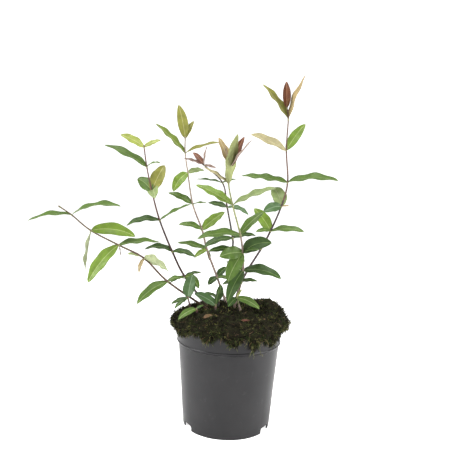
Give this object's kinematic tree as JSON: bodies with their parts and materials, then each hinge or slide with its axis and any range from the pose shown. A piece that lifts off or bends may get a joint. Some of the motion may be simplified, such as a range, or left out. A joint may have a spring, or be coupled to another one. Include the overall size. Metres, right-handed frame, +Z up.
{
  "type": "potted hypericum shrub",
  "caption": "Young shrub with slender arching stems and paired oval leaves, standing in moss and peat in a round plastic nursery pot.",
  "frame": {"origin": "centre of the pot's flat underside", "axes": "+Z up along the pot's axis, +X to the right of the plant's front, +Y away from the front; the far left stem leans to -X and the tallest stem stands to +X"},
  "size_m": [0.3562, 0.1614, 0.4243],
  "materials": {
    "pot_plastic": "satin charcoal",
    "peat": "dark moist peat",
    "moss": "matted moss",
    "bark": "smooth young bark",
    "leaf": "soft satin leaf"
  },
  "bodies": {
    "root": {"nursery_pot": "pot_plastic", "peat": "peat", "moss_mound": "moss", "far_left_bough": "bark", "left_bough": "bark", "centre_left_bough": "bark", "centre_bough": "bark", "front_bough": "bark", "right_bough": "bark", "far_left_lower_foliage": "leaf", "far_left_upper_foliage": "leaf", "left_lower_foliage": "leaf", "left_upper_foliage": "leaf", "centre_left_lower_foliage": "leaf", "centre_left_upper_foliage": "leaf", "centre_foliage": "leaf", "front_lower_foliage": "leaf", "front_upper_foliage": "leaf", "right_lower_foliage": "leaf", "right_upper_foliage": "leaf", "left_basal_foliage": "leaf", "soil_foliage": "leaf", "centre_basal_foliage": "leaf", "dark_basal_foliage": "leaf", "right_basal_foliage": "leaf"}
  },
  "joints": []
}
